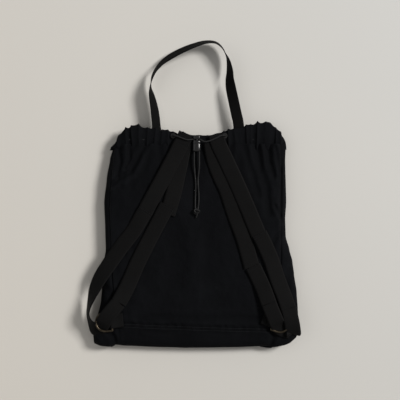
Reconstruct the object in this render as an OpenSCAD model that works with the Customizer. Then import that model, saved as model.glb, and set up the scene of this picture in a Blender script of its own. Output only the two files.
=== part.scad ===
// Drawstring backpack, empty and lying on its front panel.
// +Z is up off the surface, +Y runs to the mouth and the handle, +X to the wearer's right strap.
// The origin is on the underside of the front panel, at the middle of the body.

/* [Body] */
// Width across the lower corners
body_w = 388; // [320:2:480]
// Height from the bottom edge to the top of the channel
body_h = 414; // [340:2:500]
// Thickness of the empty bag as it lies
body_t = 30; // [24:1:45]
// Width at the waist, above the flare of the base
waist_w = 350; // [290:2:430]
// Height of the waist above the bottom edge
waist_up = 180; // [140:5:200]
// Height above the bottom edge where the sides start to close
shoulder_up = 290; // [230:5:300]
// Width of the back panel at the base seam
panel_w = 293; // [240:1:310]
// Width of the back panel at the channel
panel_top_w = 312; // [250:1:320]
// How far the base shows on the back
base_show = 48; // [35:1:70]
// Cut of the lower corners
corner = 22; // [5:1:40]
// Cloth with its seam allowance
wall = 2.5; // [1.5:0.5:4]

/* [Channel] */
// Width of the mouth
mouth_w = 330; // [290:2:400]
// Height of the drawcord channel
channel_h = 32; // [26:1:45]
// Thickness of the gathered channel
channel_t = 8; // [7:0.5:10]
// One layer of channel cloth
channel_skin = 1.5; // [1:0.25:2]
// Outer radius of a cord eyelet
eyelet_r = 5; // [4.5:0.25:6.5]

/* [Webbing] */
// Width of a shoulder strap
strap_w = 30; // [20:1:36]
// Thickness of a shoulder strap
strap_t = 1.6; // [1:0.1:2.4]
// Width of the handle
handle_w = 20; // [15:1:25]
// Thickness of the handle
handle_t = 1.4; // [1:0.1:1.5]
// Thickness of a ring's tab
tab_t = 1.6; // [1:0.1:2.4]

/* [Rings] */
// Clear width inside a D ring
ring_in = 31; // [28:1:40]
// Straight leg of a D ring
ring_leg = 12; // [8:1:16]
// Wire of a D ring
ring_wire = 4; // [3:0.25:5]

/* [Drawcord] */
// Diameter of the cord
cord_d = 3; // [2.5:0.1:4]
// Length of the cord lock's body
lock_l = 21; // [18:1:28]
// Thickness of the cord lock's body
lock_t = 9; // [8.5:0.5:12]
// Travel of the lock's button
press = 2; // [1:0.5:3]
// Radius of the lock's button stem
stem_r = 2.1; // [1.5:0.1:2.5]
// Radius of the knot that joins the tails
knot_r = 6; // [5:0.5:9]

/* [Hidden] */
$fn = 48;

// Clear gap between pieces that move apart
gap = 0.3;
// Reach of a cutting block past what it cuts
past = 400;
// The straps' places were chosen on this size of body
drawn_w = 388;
drawn_h = 414;
sx = body_w / drawn_w;
sy = body_h / drawn_h;

base_y = -body_h / 2;
mouth_y = body_h / 2;
channel_y = mouth_y - channel_h;
seam_y = base_y + base_show;
low_z = body_t + gap;
high_z = low_z + strap_t + gap;

// Lock: two bores for the cord beside the well of the button
bore_r = cord_d / 2 + 0.2;
well_r = stem_r + 0.1;
lock_web = 0.9;
cord_off = well_r + lock_web + bore_r;
lock_w = 2 * (cord_off + bore_r + lock_web);
lock_x = -0.5;
lock_top = mouth_y - 18;
lock_end = lock_top - lock_l;
cord_z = low_z + lock_t / 2 - 0.3;
well_deep = 14;
stem_in = 7;
button_gap = press + 0.5;
button_l = 6;

// Rings: where the middle of the straight bar lies, and how far the ring is turned
tab_r = ring_wire / 2 + gap + tab_t;
ring_z = low_z + tab_r;
bar_half = ring_in / 2 + ring_wire / 2;
ring_at = [[-162 * sx, seam_y + 5], [146 * sx, seam_y + 6]];
ring_turn = [-84, 71];

// Handle: the webbing turns on its edge above its flat legs
hinge_y = mouth_y + handle_t / 2 + 0.25;
leg_z = body_t - channel_t - handle_t;
leg_x = [-78, 80];
leg_top_x = [-86, 73];
leg_up = 55;
arch = [
    [-86, 44], [-88, 78], [-81, 110], [-62, 138], [-30, 160], [18, 177],
    [44, 166], [57, 144], [62, 113], [65, 78], [73, 44]
];

// Strap routes, from the top down, as centre lines
outer_left = [
    [-25, 190], [-41, 159], [-76, 95], [-112, 30], [-152, -25], [-184, -75],
    [-200, -108], [-204, -140], [-200, -156]
];
inner_left = [
    [-28, 190], [-33, 142], [-44, 95], [-62, 55], [-90, 2], [-112, -42], [-136, -95], [-150, -118]
];
outer_right = [[36, 190], [50, 159], [80, 95], [117, 12], [141, -38], [158, -84], [175, -128], [180, -158]];
inner_right = [[32, 190], [38, 150], [57, 95], [74, 40], [88, 4], [102, -44], [122, -80], [134, -118]];
// Heights where the sewn ends stop and where the outer and the inner runs stop, left and right
end_y = 157;
loop_y = [[-100, -130], [-118, -118]];

// Drawcord, from the left bore round the channel to the right bore
eye = [[-45, mouth_y - 9], [53, mouth_y - 9]];
over_z = high_z + strap_t + cord_d / 2 + gap;
tunnel_hi = body_t - channel_t / 2;
tunnel_lo = channel_t / 2;
side_x = mouth_w / 2 - channel_t / 2;
mid_y = channel_y + channel_h / 2;
bend = 2.5;
cord_step = 22;
tail_step = 9;
cord_path = [
    [lock_x - cord_off, lock_end, cord_z],
    [lock_x - cord_off, lock_top + 0.5, cord_z],
    [lock_x - cord_off - 5, lock_top + 4, cord_z + 1],
    [-28, eye[0][1] - 1, over_z],
    [eye[0][0] + 4, eye[0][1], over_z],
    [eye[0][0], eye[0][1], over_z - 4],
    [eye[0][0], eye[0][1], tunnel_hi + 2.5],
    [eye[0][0] - 3, eye[0][1] - 1, tunnel_hi],
    [eye[0][0] - 20, mid_y, tunnel_hi],
    [-side_x + bend, mid_y, tunnel_hi],
    [-side_x, mid_y, tunnel_hi - bend],
    [-side_x, mid_y, tunnel_lo + bend],
    [-side_x + bend, mid_y, tunnel_lo],
    [side_x - bend, mid_y, tunnel_lo],
    [side_x, mid_y, tunnel_lo + bend],
    [side_x, mid_y, tunnel_hi - bend],
    [side_x - bend, mid_y, tunnel_hi],
    [eye[1][0] + 20, mid_y, tunnel_hi],
    [eye[1][0] + 3, eye[1][1] - 1, tunnel_hi],
    [eye[1][0], eye[1][1], tunnel_hi + 2.5],
    [eye[1][0], eye[1][1], over_z - 4],
    [eye[1][0] - 4, eye[1][1], over_z],
    [30, eye[1][1] - 1, over_z],
    [lock_x + cord_off + 5, lock_top + 4, cord_z + 1],
    [lock_x + cord_off, lock_top + 0.5, cord_z],
    [lock_x + cord_off, lock_end, cord_z]
];
lie_z = body_t + gap + cord_d / 2;
knot_z = body_t + gap + knot_r;
// Distance down from the lock, sideways from its middle, and height
tail_l = 108;
tail_left = [
    [0, -cord_off, cord_z], [24, -cord_off, cord_z], [38, -4.2, 33],
    [58, -2.2, lie_z], [84, -2.6, lie_z], [tail_l, -3, 33]
];
tail_right = [
    [0, cord_off, cord_z], [24, cord_off, cord_z], [38, 5, 33],
    [58, 2.4, lie_z], [84, 3.8, lie_z], [tail_l, 3, 33]
];

// ---- outlines and sweeps ----

function unit(v) = v / norm(v);
function heading(p, i) = unit(p[min(i + 1, len(p) - 1)] - p[max(i - 1, 0)]);
function beside(p, d) = [for (i = [0 : len(p) - 1]) let (h = heading(p, i)) p[i] + [-h[1], h[0]] * d];
function backwards(p) = [for (i = [len(p) - 1 : -1 : 0]) p[i]];
function ribbon(p, w) = concat(beside(p, w / 2), backwards(beside(p, -w / 2)));
function placed(p) = [for (q = p) [q[0] * sx, q[1] * sy]];

function body_side(inset, top) = [
    [body_w / 2 - corner, base_y + inset],
    [body_w / 2 - inset, base_y + corner],
    [waist_w / 2 - inset, base_y + waist_up],
    [waist_w / 2 - inset, base_y + shoulder_up],
    [mouth_w / 2 - inset, channel_y],
    [mouth_w / 2 - inset, channel_y + top]
];
function body_outline(inset, top) =
    concat(body_side(inset, top), [for (q = backwards(body_side(inset, top))) [-q[0], q[1]]]);

function between(a, b, step) =
    let (n = max(1, ceil(norm(b - a) / step)))
    [for (k = [0 : n - 1]) a + (b - a) * k / n];
function spaced(p, step) =
    concat([for (i = [0 : len(p) - 2]) each between(p[i], p[i + 1], step)], [p[len(p) - 1]]);
// Each ring's first spoke is the last one's, laid square to the new heading
function spokes(t, u, i) =
    i >= len(t) ? [] :
    let (v = unit(u - t[i] * (u * t[i])))
    concat([v], spokes(t, v, i + 1));

module cord(path, step) {
    p = spaced(path, step);
    n = len(p);
    sides = 8;
    t = [for (i = [0 : n - 1]) heading(p, i)];
    u = spokes(t, [0.6, 0.2, 0.77], 0);
    skin = [
        for (i = [0 : n - 1])
        for (k = [0 : sides - 1])
        p[i] + cord_d / 2 * (u[i] * cos(360 * k / sides) + cross(t[i], u[i]) * sin(360 * k / sides))
    ];
    wallFaces = [
        for (i = [0 : n - 2])
        for (k = [0 : sides - 1])
        [i * sides + k, (i + 1) * sides + k, (i + 1) * sides + (k + 1) % sides, i * sides + (k + 1) % sides]
    ];
    polyhedron(
        points = skin,
        faces = concat(wallFaces, [[for (k = [0 : sides - 1]) k]],
            [[for (k = [sides - 1 : -1 : 0]) (n - 1) * sides + k]]),
        convexity = 6
    );
}

// ---- body ----

module body_shell() {
    difference() {
        linear_extrude(body_t) polygon(body_outline(0, 0));
        translate([0, 0, wall]) linear_extrude(body_t - 2 * wall) polygon(body_outline(wall, 1));
    }
}

module panel_region() {
    translate([0, 0, -1]) linear_extrude(body_t + 2)
        polygon([
            [-panel_w / 2, seam_y], [panel_w / 2, seam_y],
            [panel_top_w / 2, channel_y + 2], [-panel_top_w / 2, channel_y + 2]
        ]);
}

module upper_half() {
    translate([-past, -past, body_t / 2]) cube([2 * past, 2 * past, body_t]);
}

module lower_half() {
    translate([-past, -past, -body_t / 2]) cube([2 * past, 2 * past, body_t]);
}

module front_panel() {
    color([0.06, 0.065, 0.075])
    intersection() {
        body_shell();
        panel_region();
        lower_half();
    }
}

module back_panel() {
    color([0.07, 0.075, 0.085])
    intersection() {
        body_shell();
        panel_region();
        upper_half();
    }
}

module gusset(side) {
    color([0.055, 0.06, 0.07])
    difference() {
        intersection() {
            body_shell();
            translate([side > 0 ? 0 : -past, seam_y, -1]) cube([past, past, body_t + 2]);
        }
        panel_region();
    }
}

module gusset_left() gusset(-1);
module gusset_right() gusset(1);

module base_panel() {
    color([0.05, 0.055, 0.065])
    intersection() {
        body_shell();
        translate([-past, base_y - 1, -1]) cube([2 * past, base_show + 1, body_t + 2]);
    }
}

// ---- channel ----

module mouth_block(inset_x, inset_z, low, high) {
    translate([-mouth_w / 2 + inset_x, channel_y + low, inset_z])
        cube([mouth_w - 2 * inset_x, channel_h - low + high, body_t - 2 * inset_z]);
}

module channel_ring() {
    hem = 6;
    difference() {
        mouth_block(0, 0, 0, 0);
        mouth_block(channel_t, channel_t, -1, 1);
        difference() {
            mouth_block(channel_skin, channel_skin, hem, -hem);
            mouth_block(channel_t - channel_skin, channel_t - channel_skin, 0, 0);
        }
    }
}

module channel_front() {
    color([0.055, 0.06, 0.07])
    intersection() {
        channel_ring();
        lower_half();
    }
}

module channel_back() {
    color([0.055, 0.06, 0.07])
    difference() {
        intersection() {
            channel_ring();
            upper_half();
        }
        for (e = eye)
            translate([e[0], e[1], body_t - channel_skin - 1])
                cylinder(r = bore_r + gap, h = channel_skin + 2);
    }
}

module eyelet(i) {
    color([0.12, 0.12, 0.12])
    translate([eye[i][0], eye[i][1], body_t])
    difference() {
        cylinder(r = eyelet_r, h = 1);
        translate([0, 0, -1]) cylinder(r = bore_r + gap, h = 3);
    }
}

module eyelet_left() eyelet(0);
module eyelet_right() eyelet(1);

// ---- handle ----

module handle_leg(i) {
    route = [[leg_x[i] * sx, hinge_y], [leg_top_x[i] * sx, mouth_y + leg_up]];
    reach = [route[0] - [0, 2], route[0] + [0, 2], route[1]];
    intersection() {
        translate([0, 0, leg_z]) linear_extrude(handle_t) polygon(ribbon(reach, handle_w));
        translate([-past, hinge_y, 0]) cube([2 * past, past, body_t]);
    }
}

module handle() {
    color([0.07, 0.068, 0.065])
    union() {
        handle_leg(0);
        handle_leg(1);
        translate([0, 0, leg_z + handle_t / 2 - handle_w / 2])
            linear_extrude(handle_w)
                polygon(ribbon([for (q = arch) [q[0] * sx, mouth_y + q[1]]], handle_t));
    }
}

module handle_end(i) {
    sewn = 24;
    color([0.07, 0.068, 0.065])
    translate([leg_x[i] * sx - handle_w / 2, mouth_y - sewn, leg_z])
        cube([handle_w, sewn, handle_t]);
}

module handle_end_left() handle_end(0);
module handle_end_right() handle_end(1);

// ---- straps ----

module strap(route, z) {
    translate([0, 0, z]) linear_extrude(strap_t) polygon(ribbon(placed(route), strap_w));
}

// The stretch of a strap between two heights on the back
module stretch(low, high) {
    intersection() {
        children();
        translate([-past, low, 0]) cube([2 * past, high - low, 2 * body_t]);
    }
}

module strap_end(outer, inner) {
    color([0.085, 0.08, 0.08])
    union() {
        stretch(end_y * sy + gap / 2, past) strap(outer, high_z);
        stretch(end_y * sy + gap / 2, past) strap(inner, low_z);
        // the seam that sews both runs down
        stretch((end_y + 14) * sy, past) strap(inner, body_t);
        stretch((end_y + 14) * sy, past) strap(inner, low_z + strap_t - gap);
    }
}

module strap_end_left() strap_end(outer_left, inner_left);
module strap_end_right() strap_end(outer_right, inner_right);

module strap_run(route, z, low) {
    color([0.085, 0.08, 0.08])
    stretch(low, end_y * sy - gap / 2) strap(route, z);
}

module strap_left_outer() strap_run(outer_left, high_z, loop_y[0][0] * sy + gap / 2);
module strap_left_inner() strap_run(inner_left, low_z, loop_y[1][0] * sy + gap / 2);
module strap_right_outer() strap_run(outer_right, high_z, loop_y[0][1] * sy + gap / 2);
module strap_right_inner() strap_run(inner_right, low_z, loop_y[1][1] * sy + gap / 2);

// ---- rings, their tabs and the strap through them ----

module at_ring(i) {
    translate([ring_at[i][0], ring_at[i][1], ring_z]) rotate([0, 0, ring_turn[i]]) children();
}

// The bar lies along X and the bow reaches to -Y
module ring(i) {
    wire = ring_wire / 2;
    color([0.2, 0.18, 0.15])
    at_ring(i)
    union() {
        translate([-bar_half, 0, 0]) rotate([0, 90, 0]) cylinder(r = wire, h = 2 * bar_half);
        for (x = [-bar_half, bar_half]) {
            translate([x, 0, 0]) sphere(r = wire);
            translate([x, 0, 0]) rotate([90, 0, 0]) cylinder(r = wire, h = ring_leg);
        }
        translate([0, -ring_leg, 0]) rotate([0, 0, 180])
            rotate_extrude(angle = 180) translate([bar_half, 0]) circle(r = wire);
    }
}

module ring_left() ring(0);
module ring_right() ring(1);

module ring_tab(i) {
    wide = ring_in - 3;
    long = 20;
    color([0.085, 0.08, 0.08])
    at_ring(i)
    difference() {
        union() {
            translate([-wide / 2, 0, 0]) rotate([0, 90, 0]) cylinder(r = tab_r, h = wide);
            translate([-wide / 2, 0, -tab_r]) cube([wide, long, tab_t]);
        }
        translate([-wide / 2 - 1, 0, 0]) rotate([0, 90, 0]) cylinder(r = ring_wire / 2 + gap, h = wide + 2);
    }
}

module ring_tab_left() ring_tab(0);
module ring_tab_right() ring_tab(1);

// The webbing passes under the bow, up inside the ring and back over it
module ring_wrap(i) {
    wide = ring_in - 5;
    set_in = 0.1;
    clear = sqrt(pow(ring_in / 2, 2) - pow(wide / 2 + gap, 2));
    inside = ring_leg + clear - strap_t - gap;
    below = low_z - ring_z;
    above = ring_wire / 2 + 0.6;
    bow = ring_leg + bar_half + ring_wire / 2;
    at_ring(i) {
        translate([-wide / 2, -inside - strap_t, below + 2 * set_in])
            cube([wide, strap_t, above + strap_t - below - 2 * set_in]);
        // set in from the ribbon's faces, so that no two faces lie in one plane
        translate([-wide / 2, -bow - 6, below + set_in])
            cube([wide, bow + 6 - inside, strap_t - 2 * set_in]);
        translate([-wide / 2, -inside - strap_t, above]) cube([wide, inside - 2, strap_t]);
    }
}

module strap_loop(i, route) {
    color([0.085, 0.08, 0.08])
    union() {
        stretch(-past, loop_y[0][i] * sy - gap / 2) strap(route, low_z);
        ring_wrap(i);
    }
}

module strap_loop_left() strap_loop(0, outer_left);
module strap_loop_right() strap_loop(1, outer_right);

// ---- drawcord, tails and knot ----

module drawcord() {
    color([0.08, 0.08, 0.085]) cord(cord_path, cord_step);
}

function tail_path(tail) = [for (q = tail) [lock_x + q[1], lock_end - q[0], q[2]]];

module cord_tail_left() {
    color([0.08, 0.08, 0.085]) cord(tail_path(tail_left), tail_step);
}

module cord_tail_right() {
    color([0.08, 0.08, 0.085]) cord(tail_path(tail_right), tail_step);
}

module cord_knot() {
    color([0.08, 0.08, 0.085])
    translate([lock_x, lock_end - tail_l - knot_r, knot_z]) sphere(r = knot_r);
}

// ---- cord lock ----

module lock_body() {
    color([0.03, 0.03, 0.035])
    difference() {
        translate([lock_x - lock_w / 2, lock_end, low_z]) cube([lock_w, lock_l, lock_t]);
        for (side = [-1, 1])
            translate([lock_x + side * cord_off, lock_end - 1, cord_z])
                rotate([-90, 0, 0]) cylinder(r = bore_r, h = lock_l + 2);
        translate([lock_x, lock_top - well_deep, cord_z])
            rotate([-90, 0, 0]) cylinder(r = well_r, h = well_deep + 1);
    }
}

module lock_button() {
    under = cord_z + cord_d / 2 + 0.5;
    top = low_z + lock_t;
    head = 12;
    color([0.03, 0.03, 0.035])
    union() {
        translate([lock_x, lock_top - stem_in, cord_z])
            rotate([-90, 0, 0]) cylinder(r = stem_r, h = stem_in + button_gap + 1);
        translate([lock_x - stem_r, lock_top + button_gap, cord_z - stem_r])
            cube([2 * stem_r, button_l, top - cord_z + stem_r]);
        translate([lock_x - head / 2, lock_top + button_gap, under])
            cube([head, button_l, top - under]);
    }
}

module lock_spring() {
    long = well_deep - stem_in - press - gap;
    color([0.6, 0.6, 0.6])
    translate([lock_x, lock_top - well_deep, cord_z]) rotate([-90, 0, 0])
    difference() {
        cylinder(r = stem_r - 0.1, h = long);
        translate([0, 0, -1]) cylinder(r = stem_r - 0.7, h = long + 2);
    }
}

front_panel();
back_panel();
gusset_left();
gusset_right();
base_panel();
channel_front();
channel_back();
eyelet_left();
eyelet_right();
handle();
handle_end_left();
handle_end_right();
strap_end_left();
strap_end_right();
strap_left_outer();
strap_left_inner();
strap_right_outer();
strap_right_inner();
strap_loop_left();
strap_loop_right();
ring_left();
ring_right();
ring_tab_left();
ring_tab_right();
drawcord();
cord_tail_left();
cord_tail_right();
cord_knot();
lock_body();
lock_button();
lock_spring();
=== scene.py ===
import bpy
import math
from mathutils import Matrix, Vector, noise


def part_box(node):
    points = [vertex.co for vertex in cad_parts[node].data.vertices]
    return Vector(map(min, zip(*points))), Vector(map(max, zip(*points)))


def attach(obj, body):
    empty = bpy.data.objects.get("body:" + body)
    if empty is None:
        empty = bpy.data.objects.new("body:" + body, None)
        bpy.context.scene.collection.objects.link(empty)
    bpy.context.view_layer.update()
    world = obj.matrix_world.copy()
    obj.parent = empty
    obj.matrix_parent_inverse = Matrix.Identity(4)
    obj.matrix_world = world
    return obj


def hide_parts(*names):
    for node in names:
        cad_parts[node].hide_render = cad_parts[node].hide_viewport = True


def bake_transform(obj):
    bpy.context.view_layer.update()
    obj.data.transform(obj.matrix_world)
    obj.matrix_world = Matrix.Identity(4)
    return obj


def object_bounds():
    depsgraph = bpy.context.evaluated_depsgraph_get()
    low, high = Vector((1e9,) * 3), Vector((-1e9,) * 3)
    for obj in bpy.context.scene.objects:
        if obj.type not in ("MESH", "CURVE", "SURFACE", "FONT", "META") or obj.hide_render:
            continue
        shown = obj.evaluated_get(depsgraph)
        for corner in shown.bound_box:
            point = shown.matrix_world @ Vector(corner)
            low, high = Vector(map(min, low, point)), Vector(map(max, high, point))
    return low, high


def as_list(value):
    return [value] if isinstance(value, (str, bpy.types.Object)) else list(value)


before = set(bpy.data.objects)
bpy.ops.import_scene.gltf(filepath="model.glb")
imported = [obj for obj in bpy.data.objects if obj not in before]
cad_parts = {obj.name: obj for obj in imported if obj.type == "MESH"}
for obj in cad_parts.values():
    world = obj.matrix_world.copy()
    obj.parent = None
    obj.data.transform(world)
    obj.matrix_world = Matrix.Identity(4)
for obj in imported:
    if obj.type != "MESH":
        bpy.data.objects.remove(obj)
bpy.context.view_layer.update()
mm = 0.001


# ---------- camera, floor and light

view = {"x": 0.0057, "y": 0.076, "height": 1.60, "lens": 74.4, "shutterSize": 36}
studio = {"keyPower": 250, "keySize": 1.3, "fillPower": 3, "worldLevel": 0.34, "floorSize": 4.0}


def makeCamera():
    data = bpy.data.cameras.new("topCamera")
    data.lens = view["lens"]
    data.sensor_width = view["shutterSize"]
    camera = bpy.data.objects.new("topCamera", data)
    camera.location = (view["x"], view["y"], view["height"])
    bpy.context.collection.objects.link(camera)
    bpy.context.scene.camera = camera


def areaLight(name, place, power, size, colour):
    data = bpy.data.lights.new(name, "AREA")
    data.energy = power
    data.size = size
    data.color = colour
    lamp = bpy.data.objects.new(name, data)
    lamp.location = place
    lamp.rotation_euler = (Vector((0, 0.05, 0)) - Vector(place)).to_track_quat("-Z", "Y").to_euler()
    bpy.context.collection.objects.link(lamp)


# ---------- shader helpers

class Sock:  # a socket that can be added, multiplied and so on
    def __init__(self, tree, socket):
        self.tree = tree
        self.socket = socket

    def math(self, operation, a, b=0.0):
        return shaderNode(self.tree, "ShaderNodeMath", {"operation": operation}, 0, i0=a, i1=b)

    def __add__(self, other):
        return self.math("ADD", self, other)

    __radd__ = __add__

    def __mul__(self, other):
        return self.math("MULTIPLY", self, other)

    __rmul__ = __mul__

    def __sub__(self, other):
        return self.math("SUBTRACT", self, other)

    def __rsub__(self, other):
        return self.math("SUBTRACT", other, self)

    def sine(self):
        return self.math("SINE", self)

    def clamp(self):
        return shaderNode(self.tree, "ShaderNodeClamp", None, 0, Value=self)


def shaderNode(tree, kind, settings=None, outlet=0, **inputs):
    made = tree.nodes.new(kind)
    for key, value in (settings or {}).items():
        if key == "stops":
            ramp = made.color_ramp.elements
            while len(ramp) < len(value):
                ramp.new(0.5)
            for stop, (at, colour) in zip(ramp, value):
                stop.position = at
                stop.color = (*colour, 1)
        else:
            setattr(made, key, value)
    for key, value in inputs.items():
        name = key.replace("_", " ")
        slotOf = made.inputs[int(key[1:])] if key[0] == "i" and key[1:].isdigit() else made.inputs[name]
        if isinstance(value, Sock):
            tree.links.new(value.socket, slotOf)
        else:
            slotOf.default_value = value
    return Sock(tree, made.outputs[outlet])


def mixColour(tree, amount, a, b):
    return shaderNode(tree, "ShaderNodeMix", {"data_type": "RGBA"}, 2, i0=amount, i6=a, i7=b)


def startMaterial(name):
    material = bpy.data.materials.new(name)
    material.use_nodes = True
    tree = material.node_tree
    shader = tree.nodes["Principled BSDF"]
    return material, tree, shader


def separate(tree, vector):
    parts = tree.nodes.new("ShaderNodeSeparateXYZ")
    tree.links.new(vector.socket, parts.inputs[0])
    return [Sock(tree, out) for out in parts.outputs]


def objectCoords(tree):
    return shaderNode(tree, "ShaderNodeTexCoord", None, 3)


def uvCoords(tree, layer="along"):
    return shaderNode(tree, "ShaderNodeUVMap", {"uv_map": layer}, 0)


def noiseValue(tree, coords, scale, detail=3.0, roughness=0.55):
    sizes = {"Scale": scale, "Detail": detail, "Roughness": roughness}
    return shaderNode(tree, "ShaderNodeTexNoise", None, 0, Vector=coords, **sizes)


def addBump(tree, shader, height, strength, distance):
    bump = shaderNode(tree, "ShaderNodeBump", None, 0, Strength=strength, Distance=distance, Height=height)
    tree.links.new(bump.socket, shader.inputs["Normal"])


def feed(tree, shader, socketName, value):
    if isinstance(value, Sock):
        tree.links.new(value.socket, shader.inputs[socketName])
    else:
        shader.inputs[socketName].default_value = value


# ---------- materials

clothLook = {
    "dark": (0.0010, 0.0011, 0.0015, 1),
    "light": (0.0046, 0.0050, 0.0062, 1),
    "lint": (0.016, 0.017, 0.02, 1),
    "weave": 1150,  # half waves of the twill to the metre
    "rough": 0.86,
}
webbingLook = {
    "dark": (0.0011, 0.0011, 0.0012, 1),
    "light": (0.0062, 0.0060, 0.0061, 1),
    "ribs": 1.4 * mm,
    "warps": 15,  # cords across the webbing
    "rough": 0.66,
}
cordLook = {
    "dark": (0.002, 0.002, 0.0022, 1),
    "light": (0.0095, 0.0095, 0.0105, 1),
    "turn": 2.6 * mm,  # one turn of the braid
    "rough": 0.6,
}
plasticLook = {"dark": (0.004, 0.004, 0.0045, 1), "light": (0.012, 0.012, 0.013, 1)}
# painted shade on the floor: darker and greyer towards the upper right, where the key light is strongest,
# lighter and warmer to the lower left
floorLook = {"left": (0.650, 0.619, 0.570, 1), "right": (0.535, 0.532, 0.518, 1)}


def clothMaterial(name, lift=1.0, fade=1.0):
    material, tree, shader = startMaterial(name)
    coords = objectCoords(tree)
    x, y, z = separate(tree, coords)
    k = clothLook["weave"] * math.pi
    twill = ((x + y * 0.9 + z * 0.4) * k).sine() * 0.5 + 0.5
    weft = ((x * 0.35 - y + z * 0.5) * (k * 1.7)).sine() * 0.5 + 0.5
    slub = noiseValue(tree, coords, 420.0, 4.0, 0.65)
    wear = noiseValue(tree, coords, 14.0, 5.0, 0.6)
    dust = noiseValue(tree, coords, 900.0, 1.0, 0.5)
    lint = (dust - 0.70) * 6.0
    # painted light and shade: the fold depth 'sink' lightens raised cloth as a painted highlight and
    # darkens creases, seam grooves and gathers as painted shade; the lighter ridges also stand for rubbed
    # wear
    sink = shaderNode(tree, "ShaderNodeAttribute", {"attribute_name": "sink"}, 2)
    proud = ((1.0 - sink) * 0.16).clamp()
    amount = (twill * 0.22 + slub * 0.34 + wear * 0.62 * fade + proud - 0.16).clamp()
    # a lift below 1 darkens the whole cloth; the base and channel copies use it as painted shade
    dark = tuple(c * lift for c in clothLook["dark"][:3]) + (1,)
    light = tuple(c * lift for c in clothLook["light"][:3]) + (1,)
    base = mixColour(tree, amount, dark, light)
    feed(tree, shader, "Base Color", mixColour(tree, lint.clamp() * 0.5, base, clothLook["lint"]))
    feed(tree, shader, "Roughness", (wear * 0.16 + slub * 0.08 + (clothLook["rough"] - 0.1)).clamp())
    shader.inputs["Specular IOR Level"].default_value = 0.06
    crumple = noiseValue(tree, coords, 55.0, 4.0, 0.6)
    addBump(tree, shader, twill * 0.25 + weft * 0.18 + slub * 0.35 + crumple * 2.4, 0.55, 0.0009)
    return material


def webbingMaterial(name, lift=1.0):
    material, tree, shader = startMaterial(name)
    coords = uvCoords(tree)
    across, along, _ = separate(tree, coords)  # across runs 0 to 1, along is in metres
    rib = (along * (2 * math.pi / webbingLook["ribs"])).sine() * 0.5 + 0.5
    cords = (across * (2 * math.pi * webbingLook["warps"])).sine() * 0.5 + 0.5
    edge = shaderNode(tree, "ShaderNodeMath", {"operation": "ABSOLUTE"}, 0, i0=across - 0.5)
    # the selvedge band along both edges: sunk in the bump, and painted lighter in the colour as an edge
    # highlight
    selvedgeAndEdgeHighlight = ((edge - 0.43) * 25.0).clamp()
    place = objectCoords(tree)
    fuzz = noiseValue(tree, place, 700.0, 3.0, 0.6)
    wear = noiseValue(tree, place, 26.0, 4.0, 0.6)
    amount = (rib * 0.2 + cords * 0.18 + fuzz * 0.25 + wear * 0.5 + selvedgeAndEdgeHighlight * 0.2 - 0.12).clamp()
    dark = tuple(c * lift for c in webbingLook["dark"][:3]) + (1,)
    light = tuple(c * lift for c in webbingLook["light"][:3]) + (1,)
    feed(tree, shader, "Base Color", mixColour(tree, amount, dark, light))
    feed(tree, shader, "Roughness", (fuzz * 0.12 + wear * 0.14 + (webbingLook["rough"] - 0.12)).clamp())
    shader.inputs["Specular IOR Level"].default_value = 0.07
    addBump(tree, shader, rib * 0.8 + cords * 0.6 + fuzz * 0.4 - selvedgeAndEdgeHighlight * 0.6, 0.6, 0.0005)
    return material


def cordMaterial(name):
    material, tree, shader = startMaterial(name)
    coords = objectCoords(tree)
    x, y, z = separate(tree, coords)
    k = 2 * math.pi / cordLook["turn"]
    one = ((x + y + z * 0.7) * k).sine()
    two = ((x - y - z * 0.7) * k).sine()
    braid = (one * two) * 0.5 + 0.5
    fuzz = noiseValue(tree, coords, 900.0, 2.0, 0.5)
    tone = (braid * 0.6 + fuzz * 0.4).clamp()
    feed(tree, shader, "Base Color", mixColour(tree, tone, cordLook["dark"], cordLook["light"]))
    feed(tree, shader, "Roughness", (fuzz * 0.15 + (cordLook["rough"] - 0.08)).clamp())
    shader.inputs["Specular IOR Level"].default_value = 0.25
    addBump(tree, shader, braid + fuzz * 0.3, 0.6, 0.0004)
    return material


def plasticMaterial(name):
    material, tree, shader = startMaterial(name)
    coords = objectCoords(tree)
    grain = noiseValue(tree, coords, 380.0, 4.0, 0.6)
    scuff = noiseValue(tree, coords, 70.0, 5.0, 0.7)
    tone = (scuff * 0.8).clamp()
    feed(tree, shader, "Base Color", mixColour(tree, tone, plasticLook["dark"], plasticLook["light"]))
    feed(tree, shader, "Roughness", (scuff * 0.2 + 0.14).clamp())
    shader.inputs["Specular IOR Level"].default_value = 0.42
    addBump(tree, shader, grain, 0.15, 0.0001)
    return material


def metalMaterial(name, dark, light, metallic, rough):
    material, tree, shader = startMaterial(name)
    coords = objectCoords(tree)
    tarnish = noiseValue(tree, coords, 160.0, 5.0, 0.65)
    scratch = noiseValue(tree, coords, 900.0, 2.0, 0.5)
    feed(tree, shader, "Base Color", mixColour(tree, (tarnish * 1.5 - 0.3).clamp(), dark, light))
    feed(tree, shader, "Roughness", (tarnish * 0.25 + scratch * 0.1 + rough - 0.12).clamp())
    shader.inputs["Metallic"].default_value = metallic
    addBump(tree, shader, scratch * 0.5 + tarnish, 0.12, 0.0001)
    return material


def threadMaterial(name, dark, light):
    material, tree, shader = startMaterial(name)
    coords = objectCoords(tree)
    twist = noiseValue(tree, coords, 1400.0, 2.0, 0.5)
    fade = noiseValue(tree, coords, 40.0, 3.0, 0.5)
    feed(tree, shader, "Base Color", mixColour(tree, (twist * 0.4 + fade * 0.8 - 0.1).clamp(), dark, light))
    feed(tree, shader, "Roughness", (twist * 0.2 + 0.5).clamp())
    shader.inputs["Specular IOR Level"].default_value = 0.12
    addBump(tree, shader, twist, 0.4, 0.0002)
    return material


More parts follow.
